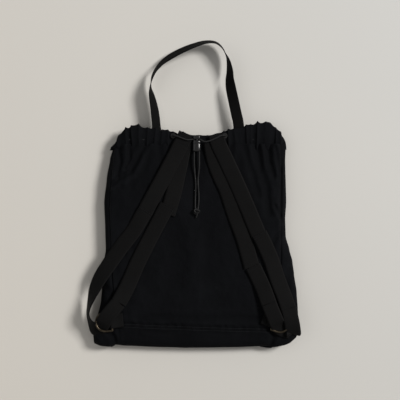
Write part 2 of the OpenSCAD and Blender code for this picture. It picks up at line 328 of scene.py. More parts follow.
def floorMaterial():
    material, tree, shader = startMaterial("paleFloor")
    coords = objectCoords(tree)
    x, y, z = separate(tree, coords)
    drift = noiseValue(tree, coords, 1.3, 2.0, 0.5)
    # painted shade gradient across the floor, darker towards the key light's side, with a noisy drift
    side = (x * 0.9 + y * 0.35 + 0.5 + (drift - 0.5) * 0.3).clamp()
    feed(tree, shader, "Base Color", mixColour(tree, side, floorLook["left"], floorLook["right"]))
    feed(tree, shader, "Roughness", (drift * 0.1 + 0.7).clamp())
    shader.inputs["Specular IOR Level"].default_value = 0.2
    return material


makeCamera()
areaLight("keyWindow", (3.4, 1.7, 3.2), studio["keyPower"], studio["keySize"], (1.0, 0.985, 0.96))
areaLight("fillCard", (-1.4, 0.5, 1.5), studio["fillPower"], 1.4, (0.97, 0.98, 1.0))
world = bpy.data.worlds.new("room")
bpy.context.scene.world = world
world.use_nodes = True
world.node_tree.nodes["Background"].inputs["Color"].default_value = (1.0, 0.985, 0.955, 1)
world.node_tree.nodes["Background"].inputs["Strength"].default_value = studio["worldLevel"]
bpy.context.scene.view_settings.view_transform = "Standard"

cloth = clothMaterial("cottonCanvas")
# the base panel and the gathered channel take darker copies of the same cloth: painted shade
shadedBaseCloth = clothMaterial("cottonCanvasBaseShaded", 0.86)
shadedGatheredCloth = clothMaterial("cottonCanvasGatheredShaded", 0.92, 1.1)
webbing = webbingMaterial("strapWebbing", 1.12)
handleWebbing = webbingMaterial("handleWebbing", 0.55)
cordFinish = cordMaterial("braidedCord")
plastic = plasticMaterial("lockPlastic")
ringMetal = metalMaterial("darkenedBrass", (0.022, 0.018, 0.013, 1), (0.115, 0.093, 0.066, 1), 1.0, 0.34)
eyeletMetal = metalMaterial("blackEnamel", (0.003, 0.003, 0.003, 1), (0.009, 0.009, 0.009, 1), 0.4, 0.4)
springSteel = metalMaterial("springSteel", (0.3, 0.3, 0.3, 1), (0.6, 0.6, 0.62, 1), 1.0, 0.3)
thread = threadMaterial("blackThread", (0.003, 0.003, 0.0035, 1), (0.010, 0.0105, 0.012, 1))
seamThread = threadMaterial("seamThread", (0.006, 0.0065, 0.0075, 1), (0.020, 0.021, 0.024, 1))
print("camera, light and materials")


# ---------- mesh helpers

def addMesh(name, points, faces, material, uv=None, smooth=True):
    mesh = bpy.data.meshes.new(name)
    mesh.from_pydata([tuple(p) for p in points], [], faces)
    mesh.materials.append(material)
    if uv:
        layer = mesh.uv_layers.new(name="along")
        for loop in mesh.loops:
            layer.data[loop.index].uv = uv[loop.vertex_index]
    if smooth:
        mesh.polygons.foreach_set("use_smooth", [True] * len(mesh.polygons))
    mesh.update()
    piece = bpy.data.objects.new(name, mesh)
    bpy.context.collection.objects.link(piece)
    return piece


def gridFaces(rows, columns, flip=False, start=0):
    faces = []
    for r in range(rows - 1):
        for c in range(columns - 1):
            a = start + r * columns + c
            quad = (a, a + 1, a + columns + 1, a + columns)
            faces.append(quad[::-1] if flip else quad)
    return faces


def sheetPiece(name, rows, columns, place, material, thickness, flip=False):
    # an open sheet of cloth with a real thickness, closed round its edges
    points = [place(c / (columns - 1), r / (rows - 1)) for r in range(rows) for c in range(columns)]
    piece = addMesh(name, points, gridFaces(rows, columns, flip), material)
    # the fold depth is kept as 'sink' for the cloth's painted light and shade
    depth = piece.data.attributes.new("sink", "FLOAT", "POINT")
    for spot, p in zip(depth.data, points):
        spot.value = folds(p.x / mm, p.y / mm)
    layer = piece.modifiers.new("clothThickness", "SOLIDIFY")
    layer.thickness = thickness
    layer.offset = -1
    return piece


def spline(points, count):
    # a smooth line through points of any length, Catmull-Rom
    out = []
    spans = len(points) - 1
    for i in range(count):
        t = i / (count - 1) * spans
        k = min(int(t), spans - 1)
        f = t - k
        p0, p1 = points[max(k - 1, 0)], points[k]
        p2, p3 = points[k + 1], points[min(k + 2, spans)]
        out.append([
            0.5 * (
                2 * b + (c - a) * f + (2 * a - 5 * b + 4 * c - d) * f * f
                + (3 * b - a - 3 * c + d) * f ** 3
            )
            for a, b, c, d in zip(p0, p1, p2, p3)
        ])
    return out


def curveAt(knots, x):
    # height of a smooth line through (x, y) knots in rising x
    if x <= knots[0][0]:
        return knots[0][1]
    for (x0, y0), (x1, y1) in zip(knots, knots[1:]):
        if x <= x1:
            f = (x - x0) / (x1 - x0)
            f = f * f * (3 - 2 * f) * 0.5 + f * 0.5
            return y0 + (y1 - y0) * f
    return knots[-1][1]


# ---------- the body: one soft shell that its panels are cut from, in millimetres

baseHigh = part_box("base_panel")[1]
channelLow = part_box("channel_back")[0]
body = {
    "top": baseHigh.z / mm - 0.4,  # where the straps rest
    "edge": 17.0,  # radius of the folded sides
    "cloth": 1.1 * mm,
    "columns": 150,
    "rows": 150,
}
# half widths either side of the middle, up the bag
leftEdge = [(-207, -190), (-196, -198), (-180, -199), (-165, -194), (-144, -190), (-118, -184), (-90, -182),
            (-50, -180), (-19, -175), (20, -176), (72, -178), (118, -173), (152, -167), (176, -161),
            (205, -152)]
rightEdge = [(-207, 172), (-196, 186), (-180, 193), (-165, 195), (-130, 193), (-100, 191), (-66, 186),
             (-42, 183), (-19, 177), (6, 170), (40, 169), (72, 171), (152, 169), (176, 170), (205, 166)]
bottomEdge = [(-200, -198), (-184, -204), (-168, -205), (-155, -201), (-140, -203), (-60, -206), (0, -207),
              (80, -206), (130, -204), (160, -207), (180, -201), (196, -186)]
topEdge = [(-168, 176), (-160, 182), (-154, 188), (-146, 201), (-139, 208), (-130, 216), (-112, 219),
           (-100, 216), (-90, 213), (-63, 210), (-48, 208), (-32, 202), (-24, 206), (-10, 200), (6, 199),
           (28, 200), (44, 204), (51, 208), (72, 213), (97, 219), (112, 223), (127, 226), (140, 223),
           (150, 214), (158, 206), (166, 198), (172, 180)]
# where the gussets meet the panels, up the bag, and the base seam across it
leftSeam = [(-207, -146), (-160, -150), (-100, -160), (-30, -164), (60, -168), (140, -163), (205, -156)]
rightSeam = [(-207, 142), (-160, 144), (-100, 156), (-30, 160), (60, 160), (140, 161), (205, 158)]
lowSeam = [(-200, -160), (-150, -157), (-60, -161), (20, -164), (90, -166), (144, -167), (196, -164)]
# folds and creases: points along each, half width, depth (a negative depth stands up)
creases = [
    ([(-89, 196), (-97, 188), (-112, 158), (-127, 131), (-148, 118), (-162, 106)], 5.0, 3.2),
    ([(-82, 190), (-90, 176), (-103, 150), (-118, 122), (-138, 106)], 5.0, -1.2),
    ([(-150, 176), (-146, 150), (-152, 120)], 4.0, 2.2),
    ([(-130, 178), (-128, 155), (-136, 136)], 3.5, 1.8),
    ([(163, 150), (158, 122), (160, 96), (160, 47)], 4.0, 2.2),
    ([(148, 66), (156, 50), (164, 34)], 3.5, 1.8),
    ([(112, 176), (120, 140), (132, 96), (138, 50)], 7.0, 2.4),
    ([(134, 178), (138, 148), (146, 120)], 5.0, 2.2),
    ([(90, 176), (104, 132), (118, 84)], 6.0, 1.6),
    ([(150, 176), (154, 152), (158, 130)], 3.5, 2.0),
    ([(168, 20), (150, 4), (138, -20)], 6.0, 2.0),
    ([(-172, -22), (-160, -30), (-140, -24)], 6.0, 1.8),
    ([(-180, -84), (-160, -104), (-150, -140)], 7.0, 1.8),
    ([(178, -60), (168, -92), (164, -132)], 7.0, 2.0),
    ([(-60, 60), (-40, 20), (-30, -30), (-36, -80)], 16.0, 1.2),
    ([(20, 40), (30, -10), (26, -70)], 18.0, 1.1),
    ([(-110, -150), (-60, -146), (0, -150), (60, -147), (120, -152)], 7.0, 0.9),
    ([(-100, -172), (-60, -176), (-20, -170)], 4.0, 1.0),
    ([(10, -172), (50, -178), (96, -172)], 4.0, 1.0),
    ([(-170, -170), (-158, -186), (-155, -200)], 5.0, 3.0),
    ([(140, -170), (146, -186), (140, -200)], 5.0, 2.4),
]


def seamLeft(y):
    return curveAt(leftSeam, y)


def seamRight(y):
    return curveAt(rightSeam, y)


def baseSeam(x):
    return curveAt(lowSeam, x)


def nearLine(x, y, line):
    best = 1e9
    for (ax, ay), (bx, by) in zip(line, line[1:]):
        dx, dy = bx - ax, by - ay
        t = max(0.0, min(1.0, ((x - ax) * dx + (y - ay) * dy) / (dx * dx + dy * dy)))
        far = math.hypot(x - ax - t * dx, y - ay - t * dy)
        best = min(best, far)
    return best


def folds(x, y):
    # how far the top sinks below a flat one
    sink = 1.1 * (noise.fractal(Vector((x / 46, y / 62, 3.7)), 1.0, 2.0, 4) + 0.35)
    sink += 0.45 * noise.fractal(Vector((x / 13, y / 15, 9.1)), 1.0, 2.0, 3)
    for line, wide, deep in creases:
        far = nearLine(x, y, line)
        if far < 3 * wide:
            lip = 0.35 * deep * math.exp(-((far - 1.6 * wide) / wide) ** 2)
            sink += deep * math.exp(-(far / wide) ** 2) - lip
    # gathers that run down from the channel and die out
    down = 182 - y
    if down > -8:
        reach = math.exp(-max(down, 0) / (26 + 22 * abs(x) / 170))
        pleat = math.sin(x / 4.1 + 2.2 * noise.noise(Vector((x / 22, y / 70, 1.3)))) * (0.5 + abs(x) / 150)
        pleat += 0.6 * math.sin(x / 9.5 + 1.0 + 2 * noise.noise(Vector((x / 40, y / 90, 5.3))))
        sink += (1.6 + 1.5 * pleat) * reach
    # puckers below the base seam
    under = baseSeam(x) - y
    if -3 < under < 22:
        pucker = math.sin(x / 2.6 + 3 * noise.noise(Vector((x / 18, 0, 2))))
        sink += (0.9 + 0.7 * pucker) * math.exp(-abs(under - 3) / 7)
    sink += 1.0 * math.exp(-(under / 1.6) ** 2)  # the seam's groove
    for seamX in (seamLeft(y), seamRight(y)):
        sink += 0.9 * math.exp(-((x - seamX) / 1.8) ** 2)
        sink -= 0.35 * math.exp(-((abs(x - seamX) - 5) / 3) ** 2)
    return sink


def roundOff(e, radius):
    e = max(0.0, min(1.0, e / radius))
    return math.sqrt(max(0.0, 1 - (1 - e) ** 2))


def shellPoint(x, y, upper):
    # (x, y) is inside the outline; the upper face is folded, the lower one lies flat
    half = body["top"] / 2
    e = min(x - curveAt(leftEdge, y), curveAt(rightEdge, y) - x)
    b = y - curveAt(bottomEdge, x)
    k = roundOff(e, body["edge"]) * roundOff(b, body["edge"])
    if upper:
        z = half + (half - folds(x, y) * min(1.0, k * 1.2)) * k
        return Vector((x * mm, y * mm, max(z, 1.5) * mm))
    ripple = 0.3 * (1 - k)
    return Vector((x * mm, y * mm, max(half - half * k + ripple, 0.6) * mm))


def spreadEnds(f):
    # more rows near both ends, where the shell turns over
    return 0.5 - 0.5 * math.cos(math.pi * f)


channelY = channelLow.y / mm
bodyTop = channelY + 8


def backPlace(u, v):
    y0 = baseSeam(-150 + 300 * u) - 1.5
    y = y0 + (bodyTop - y0) * v
    x = seamLeft(y) + (seamRight(y) - seamLeft(y)) * u
    return shellPoint(x, y, True)


def frontPlace(u, v):
    y = -158 + (bodyTop + 158) * v
    x = seamLeft(y) + (seamRight(y) - seamLeft(y)) * u
    return shellPoint(x, y, False)


def gussetPlace(side):
    def place(u, v):
        y0 = -160.5
        y = y0 + (bodyTop - y0) * v
        edge = curveAt(rightEdge, y) if side > 0 else curveAt(leftEdge, y)
        seam = seamRight(y) if side > 0 else seamLeft(y)
        upper = u < 0.5
        f = 1 - abs(u - 0.5) * 2  # 0 at a seam, 1 at the folded edge
        f = math.sin(f * math.pi / 2)
        return shellPoint(seam + (edge - seam) * f, y, upper)
    return place


def basePlace(u, v):
    s = spreadEnds(u)
    upper = v < 0.5
    f = math.sin((1 - abs(v - 0.5) * 2) * math.pi / 2)  # 0 at a seam, 1 at the bottom edge
    guess = -196 + 390 * s
    low = curveAt(bottomEdge, guess)
    high = baseSeam(guess) if upper else -157.0
    y = high + (low - high) * f
    left, right = curveAt(leftEdge, y), curveAt(rightEdge, y)
    return shellPoint(left + (right - left) * s, y, upper)


def makeBody():
    detail = 1.0
    rows, columns = int(body["rows"] * detail), int(body["columns"] * detail)
    back = sheetPiece("backPanel", rows + 20, columns + 10, backPlace, cloth, body["cloth"])
    front = sheetPiece("frontPanel", rows // 2, columns // 2, frontPlace, cloth, body["cloth"], flip=True)
    left = sheetPiece("gussetLeft", rows, 44, gussetPlace(-1), cloth, body["cloth"], flip=True)
    right = sheetPiece("gussetRight", rows, 44, gussetPlace(1), cloth, body["cloth"])
    base = sheetPiece("basePanel", 64, int(190 * detail), basePlace, shadedBaseCloth, body["cloth"], flip=True)
    for piece, node in ((back, "back_panel"), (front, "front_panel"), (left, "gusset_left"),
                        (right, "gusset_right"), (base, "base_panel")):
        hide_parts(node)
        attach(piece, "bag")
    print("body panels")


makeBody()


# ---------- the gathered channel round the mouth

channel = {
    "thick": 8.4,
    "foot": 171.0,  # where its lower edge is sewn down
    "footSink": 3.4,  # how far that edge is pulled into the gathers
    "left": -163,
    "wide": 330,
    "around": 34,
    "steps": 620,
}


def channelPlace(upper):
    half = body["top"] / 2
    inner = half - channel["thick"] / 2

    def place(u, v):
        # u runs round the half of the mouth from the left fold to the right one, v round the rolled hem
        turn = u * 2 - 1
        x0 = channel["left"] + channel["wide"] * u
        sideFold = abs(turn) ** 10
        zMid = half + (inner if upper else -inner) * math.sqrt(max(0.0, 1 - sideFold))
        x0 += 2.5 * turn * sideFold
        top = curveAt(topEdge, x0) if upper else min(curveAt(topEdge, x0), 206) - 4
        foot = channel["foot"] + 2 * noise.noise(Vector((x0 / 25, 0, 6)))
        angle = v * 2 * math.pi
        n = noise.noise(Vector((x0 / 16, 2.1 if upper else 7.1, 0.4)))
        crowd = 0.55 + 0.9 * min(1.0, abs(x0) / 120)
        pleat = math.sin(x0 / 2.3 + 3.4 * n) * 0.6 + math.sin(x0 / 4.9 + 3.9 * n + 1) * 0.7
        lift = 1 + 0.30 * crowd * pleat
        middle, reach = (top + foot) / 2, (top - foot) / 2
        y = middle + reach * math.cos(angle) * (1 + 0.075 * crowd * pleat)
        bulge = math.copysign(abs(math.sin(angle)) ** 0.75, math.sin(angle))
        low = max(0.0, -math.cos(angle)) ** 1.5  # the foot sinks into the body's gathers
        zMid -= (channel["footSink"] if upper else 0.0) * low
        puff = channel["thick"] / 2 * bulge * lift * (1 - 0.35 * low)
        z = zMid + puff + 0.7 * noise.noise(Vector((x0 / 7, y / 9, 4)))
        slant = 2.0 * math.sin(x0 / 17) * (math.cos(angle))
        x = x0 + slant + 0.9 * crowd * math.cos(x0 / 2.3 + 3.4 * n)
        return Vector((x * mm, y * mm, max(z, 0.5) * mm))
    return place


def makeChannel():
    halves = (("channelBack", True, "channel_back"), ("channelFront", False, "channel_front"))
    for name, upper, node in halves:
        columns = channel["steps"] // 1 // (1 if upper else 2)
        around = channel["around"]
        place = channelPlace(upper)
        points = [place(c / (columns - 1), r / around) for r in range(around) for c in range(columns)]
        faces = []
        for r in range(around):
            for c in range(columns - 1):
                a, b = r * columns + c, ((r + 1) % around) * columns + c
                faces.append((a, b, b + 1, a + 1))
        faces.append(tuple(r * columns for r in range(around))[::-1])
        faces.append(tuple(r * columns + columns - 1 for r in range(around)))
        piece = addMesh(name, points, faces, shadedGatheredCloth)
        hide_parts(node)
        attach(piece, "bag")
    print("gathered channel")


makeChannel()


# ---------- webbing: straps, handle and tabs

straps = {"width": 30.0, "thick": 1.5, "loopSlack": 0.6}  # the loop is that much narrower


def ribbonPiece(name, points, width, thick, material, step=2.5, crown=0.25, wobble=0.25):
    # points are x, y, z and roll in degrees; a roll of 90 stands the webbing on its edge
    length = sum(math.dist(a[:3], b[:3]) for a, b in zip(points, points[1:]))
    count = max(8, int(length / step))
    line = spline(points, count)
    across = 10
    ring = [(-0.5 + k / across, 1) for k in range(across + 1)]  # over the face, then back under it
    ring += [(0.5 - k / across, -1) for k in range(across + 1)]
    places, uv, travelled = [], [], 0.0
    side = None
    for i, p in enumerate(line):
        here = Vector(p[:3])
        ahead = Vector(line[min(i + 1, count - 1)][:3]) - Vector(line[max(i - 1, 0)][:3])
        ahead.normalize()
        if i:
            travelled += (here - Vector(line[i - 1][:3])).length
        level = Vector((ahead.y, -ahead.x, 0))
        if side is None:
            side = level
        if level.dot(side) < 0:
            level = -level
        side = side.lerp(level, level.length ** 2)  # keep the webbing level unless it climbs steeply
        side = (side - ahead * side.dot(ahead)).normalized()
        up = side.cross(ahead)
        roll = math.radians(p[3])
        wide = side * math.cos(roll) + up * math.sin(roll)
        face = up * math.cos(roll) - side * math.sin(roll)
        for f, s in ring:
            edge = 1 - (abs(f) * 2) ** 8 * 0.45
            bow = crown * (1 - (2 * f) ** 2) + wobble * noise.noise(Vector((travelled / 18, f * 2, width)))
            spot = here + wide * (f * width) + face * (s * thick / 2 * edge + bow)
            places.append(spot * mm)
            uv.append((f + 0.5, travelled * mm))
    size = len(ring)
    faces = []
    for i in range(count - 1):
        for k in range(size):
            a, b = i * size + k, i * size + (k + 1) % size
            faces.append((a, b, b + size, a + size))
    faces.append(tuple(range(size))[::-1])
    faces.append(tuple((count - 1) * size + k for k in range(size)))
    piece = addMesh(name, places, faces, material, uv)
    return piece


lowZ, highZ = 31.0, 32.9
# x, y, height, roll: each run from the top down
outerLeftTop = [(-20, 201, 33.6, 0), (-28, 186, 33.2, 0), (-41, 160, highZ, 2), (-58, 128, highZ, 3),
                (-76, 95, highZ, 2), (-92, 66, highZ, 0), (-98, 54, highZ, 0)]
outerLeftLow = [(-97, 56, 34.2, 0), (-104, 45, 33.6, -4), (-120, 18, highZ, -8), (-143, -12, highZ, -10),
                (-164, -42, 33.2, -14), (-184, -72, 32.6, -26), (-198, -100, 29.5, -46)]
innerLeftTop = [(-24, 186, 31.6, 0), (-31, 150, lowZ, 0), (-39, 112, lowZ, 2), (-45, 86, lowZ, 3),
                (-56, 48, lowZ, 4)]
innerLeftLow = [(-56, 66, 32.9, 0), (-68, 44, 32.2, -2), (-90, 2, lowZ, -3), (-112, -42, lowZ, -2),
                (-132, -88, 33.4, 0), (-148, -118, 37.6, 2)]
outerRightTop = [(36, 200, 33.6, 0), (40, 184, 33.2, 0), (52, 158, highZ, -2), (66, 128, highZ, -3),
                 (81, 95, highZ, -3), (98, 56, highZ, 0), (112, 22, highZ, 0), (117, 10, highZ, 0)]
outerRightLow = [(118, 12, 34.3, 0), (128, -8, 33.6, 3), (141, -38, highZ, 5), (153, -74, highZ, 8),
                 (166, -108, 33.4, 8), (173, -130, 35.4, 4)]
innerRightTop = [(27, 186, 31.4, 0), (33, 152, lowZ, 0), (45, 120, lowZ, 0), (57, 94, lowZ, 0),
                 (72, 48, lowZ, 0),
                 (88, 6, lowZ, 2), (101, -40, lowZ, 3), (104, -52, lowZ, 4)]
innerRightLow = [(106, -50, 32.4, 0), (113, -64, 31.8, 0), (125, -90, 33.6, 0), (136, -120, 37.8, 0)]
# through the rings: the left one hangs over the side on its edge, the right one is folded flat
loopLeft = [(-198, -100, 29.5, -46), (-205, -122, 25.5, -66), (-208, -142, 24.0, -72),
            (-203, -158, 26.0, -60),
            (-195, -168, 29.5, -30), (-187, -168, 30.4, -8), (-181, -162, 34.4, 0), (-176, -154, 38.6, 0),
            (-168, -142, 40.6, 0), (-158, -130, 40.2, 0), (-148, -118, 38.2, 2)]
loopRight = [(173, -130, 35.4, 4), (177, -146, 37.8, 0), (180, -160, 37.8, -4), (182, -173, 35.2, -6),
             (182.6, -177.8, 32.0, 0), (180, -175.6, 30.4, 0), (171, -172, 30.2, 0), (162, -169, 31.4, 0),
             (155, -163, 35.0, 0), (150, -154, 39.4, 0), (144, -140, 40.8, 0), (136, -120, 38.4, 0)]


def makeStraps():
    sides = (
        ("Left", outerLeftTop, outerLeftLow, innerLeftTop, innerLeftLow, loopLeft),
        ("Right", outerRightTop, outerRightLow, innerRightTop, innerRightLow, loopRight),
    )
    thick = straps["thick"]
    for side, outerTop, outerLow, innerTop, innerLow, loop in sides:
        node = side.lower()
        runs = (
            ("outerTop", outerTop, [f"strap_{node}_outer", f"strap_end_{node}"]),
            ("outerLow", outerLow, []),
            ("innerTop", innerTop, [f"strap_{node}_inner"]),
            ("innerLow", innerLow, []),
        )
        for runName, points, nodes in runs:
            piece = ribbonPiece(f"strap{side}_{runName}", points, straps["width"], thick, webbing)
            if nodes:
                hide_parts(*nodes)
            if runName.endswith("Top"):
                start, end = Vector(points[1][:3]) * mm, Vector(points[-2][:3]) * mm
                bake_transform(piece)
            else:
                start, end = Vector(points[1][:3]) * mm, Vector(points[-1][:3]) * mm
                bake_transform(piece)
        width = straps["width"] - straps["loopSlack"]
        piece = ribbonPiece(f"strap{side}_loop", loop, width, thick, webbing, 1.2, 0.1, 0.1)
        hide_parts(f"strap_loop_{node}")
        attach(piece, f"ring_{node}")
    print("shoulder straps")


makeStraps()


# ---------- top handle

handle = {"width": 20.5, "thick": 1.4}
handleZ = 21.5
# x, y, height, roll: from the left root over the crown to the right one
handlePath = [
    (-76, 192, 20.6, 0), (-77.5, 214, 21.3, -38), (-79, 232, handleZ, -42), (-82, 254, handleZ, -48),
    (-86.5, 276, handleZ, -62), (-88.5, 292, handleZ, -86), (-86, 308, handleZ, -104),
    (-80, 322, handleZ, -112), (-68, 337, handleZ, -122), (-52, 349, handleZ, -130),
    (-32, 360, handleZ, -130), (-10, 369.5, handleZ, -126), (14, 377, handleZ, -118),
    (34, 377, handleZ, -112), (47, 368, handleZ, -104), (55, 354, handleZ, -92), (60, 340, handleZ, -74),
    (62.5, 322, handleZ, -56), (62.5, 306, handleZ, -42), (65, 288, handleZ, -22), (70, 264, handleZ, -12),
    (74.5, 243, handleZ, -4), (79, 222, 21.3, 0), (81, 192, 20.6, 0),
]


def makeHandle():
    width, thick = handle["width"], handle["thick"]
    piece = ribbonPiece("topHandle", handlePath, width, thick, handleWebbing, 2.0, 0.1, 0.1)
    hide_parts("handle", "handle_end_left", "handle_end_right")
    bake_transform(piece)
    print("handle")


makeHandle()


# ---------- tabs that hold the rings

tabs = {"width": 27.0, "thick": 1.4, "wrap": 3.1, "barZ": 34.2}
# each ring's bar: where its middle is, and how far it is turned
bars = (("ring_tab_left", (-162, -154), -84), ("ring_tab_right", (146, -153), 71))


def makeTabs():
    for node, middle, turn in bars:
        a = math.radians(turn)
        out = Vector((-math.sin(a), math.cos(a), 0))  # from the bar towards the seam
        centre = Vector((middle[0], middle[1], tabs["barZ"]))
        r = tabs["wrap"]
        path = []
        for far, lift in ((22, -3.2), (14, -3.3), (6, -3.2)):
            path.append(centre + out * far + Vector((0, 0, lift)))
        for k in range(7):  # round the bar
            t = math.radians(-80 - k * 33)
            path.append(centre + out * (r * math.cos(t)) + Vector((0, 0, r * math.sin(t))))
        for far, lift in ((6, 0.6), (13, -1.2), (22, -1.7)):
            path.append(centre + out * far + Vector((0, 0, lift)))
        points = [(p.x, p.y, p.z, 0) for p in path]
        name = node.replace("_", "") + "Webbing"
        piece = ribbonPiece(name, points, tabs["width"], tabs["thick"], webbing, 1.0, 0.0, 0.05)
        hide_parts(node)
        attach(piece, "bag")
    print("ring tabs")


makeTabs()


# ---------- drawcord, tails, knot and lock

cordSizes = {
    "diameter": 3.0,
    "tip": 2.9,
    "lockX": -0.5,
    "off": 4.8,  # from the lock's middle to each bore
    "lockTop": 189.0,
    "lockEnd": 168.0,
    "boreZ": 34.5,
    "over": 36.1,  # height where it crosses the straps
    "lie": 31.8,  # height where the tails lie on the back
}


def tube(name, points, diameter, material, resolution=4):
    data = bpy.data.curves.new(name, "CURVE")
    data.dimensions = "3D"
    line = data.splines.new("NURBS")
    line.points.add(len(points) - 1)
    for spot, p in zip(line.points, points):
        spot.co = (p[0] * mm, p[1] * mm, p[2] * mm, 1)
    line.order_u = 3
    line.use_endpoint_u = True
    line.resolution_u = 6
    data.bevel_depth = diameter / 2 * mm
    data.bevel_resolution = resolution
    data.use_fill_caps = True
    data.materials.append(material)
    piece = bpy.data.objects.new(name, data)
    bpy.context.collection.objects.link(piece)
    return piece


def makeCords():
    x, off, z = cordSizes["lockX"], cordSizes["off"], cordSizes["boreZ"]
    top, end = cordSizes["lockTop"], cordSizes["lockEnd"]
    over = cordSizes["over"]
    route = [
        (x - off, end, z), (x - off, end + 7, z), (x - off, end + 14, z), (x - off, top + 0.5, z),
        (x - off - 1.5, top + 2.2, z + 0.6), (-12, 190.2, over), (-18, 189.4, over + 0.4),
        (-28, 193, over + 0.5),
        (-38, 197, over + 0.2), (-44, 198.2, over - 0.6), (-45.5, 198, over - 4), (-45.5, 198, 28.5),
        (-48, 197, 26), (-65, 191, 26),
        (-120, 191, 26), (-140, 191, 25), (-146, 191, 20), (-146, 191, 9), (-140, 191, 4.4), (0, 191, 4.2),
        (140, 191, 4.4), (148, 191, 9), (148, 191, 20), (140, 191, 25), (120, 191, 26), (73, 191, 26),
        (56, 197, 26), (53.5, 198, 28.5), (53.5, 198, over - 4), (52, 198.2, over - 0.6), (46, 198.5, over),
        (38, 194, over + 0.5), (24, 187.5, over + 0.5), (15, 185.6, over), (9.6, 188.4, over - 0.3),
        (x + off + 1.5, top + 2.2, z + 0.6), (x + off, top + 0.5, z),
        (x + off, end + 14, z), (x + off, end + 7, z), (x + off, end, z),
    ]
    main = tube("drawcordRun", route, cordSizes["diameter"], cordFinish)
    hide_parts("drawcord")
    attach(main, "bag")
    lie = cordSizes["lie"]
    leftTail = [
        (x - off, end, z), (x - off, end - 8, z), (x - off, end - 16, z), (x - off, end - 24, z - 0.1),
        (x - off + 0.4, end - 32, 33.6), (x - 3.6, end - 42, 32.6), (x - 2.4, end - 52, lie),
        (x - 2.0, end - 60, lie), (x - 2.0, end - 70, lie), (x - 2.4, end - 80, lie),
        (x - 2.8, end - 90, 32.0), (x - 2.9, end - 100, 32.6), (x - 2.6, end - 107, 33.2),
        (x - 2.0, end - 111, 34.0),
    ]
    rightTail = [
        (x + off, end, z), (x + off, end - 8, z), (x + off, end - 16, z), (x + off, end - 24, z - 0.1),
        (x + off - 0.1, end - 32, 33.6), (x + 3.4, end - 42, 32.6), (x + 2.4, end - 52, lie),
        (x + 2.4, end - 60, lie), (x + 3.0, end - 70, lie), (x + 3.8, end - 80, lie),
        (x + 4.0, end - 90, 32.0), (x + 3.4, end - 100, 32.6), (x + 2.6, end - 107, 33.4),
        (x + 1.8, end - 111, 34.2),
    ]
    # the knot: the cord wound over itself, with its tip below
    knotY, turns = end - 114.0, []
    for k in range(61):
        t = k / 60 * 2 * math.pi
        r = 2.9 + 1.35 * math.cos(3 * t)
        turnX = x + r * math.cos(2 * t) * 1.25
        turnY = knotY + r * math.sin(2 * t) * 1.15
        turns.append((turnX, turnY, 35.4 + 1.9 * math.sin(3 * t)))
    knot = tube("tailKnot", turns, cordSizes["diameter"], cordFinish)
    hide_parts("cord_knot")
    tip = [(x + 1.6, knotY - 2, 34.2), (x + 0.9, knotY - 6, 34.0), (x - 0.4, knotY - 9, 33.2),
           (x - 1.0, knotY - 11, 32.6)]
    tips = tube("tailTips", tip, cordSizes["tip"], cordFinish)
    for piece in (knot, tips):
        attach(piece, "bag")
    tails = (
        ("tailLeft", leftTail, "cord_tail_left", [knot, tips]),
        ("tailRight", rightTail, "cord_tail_right", []),
    )
    for name, points, node, extra in tails:
        piece = tube(name, points, cordSizes["diameter"], cordFinish)
        length = sum(math.dist(a, b) for a, b in zip(points, points[1:])) * mm
        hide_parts(node)
        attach(piece, "bag")
        start = tuple(c * mm for c in points[0])
        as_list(extra)
    print("drawcord, tails and knot")


makeCords()


# ---------- cord lock

lock = {"bore": 1.75, "buttonLong": 6.0, "buttonFoot": 36.4, "stem": 2.0}


def latheAlongY(name, profile, centre, flat, material, sides=28, power=0.8):
    # profile is (y, half width); the section is a rounded box that is flat times as deep as wide
    points, faces = [], []
    for y, r in profile:
        for k in range(sides):
            t = 2 * math.pi * k / sides
            cx = math.copysign(abs(math.cos(t)) ** power, math.cos(t))
            cz = math.copysign(abs(math.sin(t)) ** power, math.sin(t))
            points.append(Vector((centre[0] + r * cx, y, centre[1] + r * flat * cz)) * mm)
    for i in range(len(profile) - 1):
        for k in range(sides):
            a, b = i * sides + k, i * sides + (k + 1) % sides
            faces.append((a, a + sides, b + sides, b))
    faces.append(tuple(range(sides)))
    faces.append(tuple((len(profile) - 1) * sides + k for k in range(sides))[::-1])
    return addMesh(name, points, faces, material)


def borePiece(piece, bores, y0, y1):
    # drills straight holes along Y; each bore is x, z and radius
    for x, z, r in bores:
        drill = latheAlongY("drill", [(y0, r), (y1, r)], (x, z), 1.0, plastic, 18, 1.0)
        cut = piece.modifiers.new("bore", "BOOLEAN")
        cut.object = drill
        cut.solver = "EXACT"
        graph = bpy.context.evaluated_depsgraph_get()
        drilled = bpy.data.meshes.new_from_object(piece.evaluated_get(graph))
        piece.modifiers.clear()
        piece.data = drilled
        bpy.data.objects.remove(drill)
    drilled.polygons.foreach_set("use_smooth", [abs(f.normal.y) < 0.7 for f in drilled.polygons])


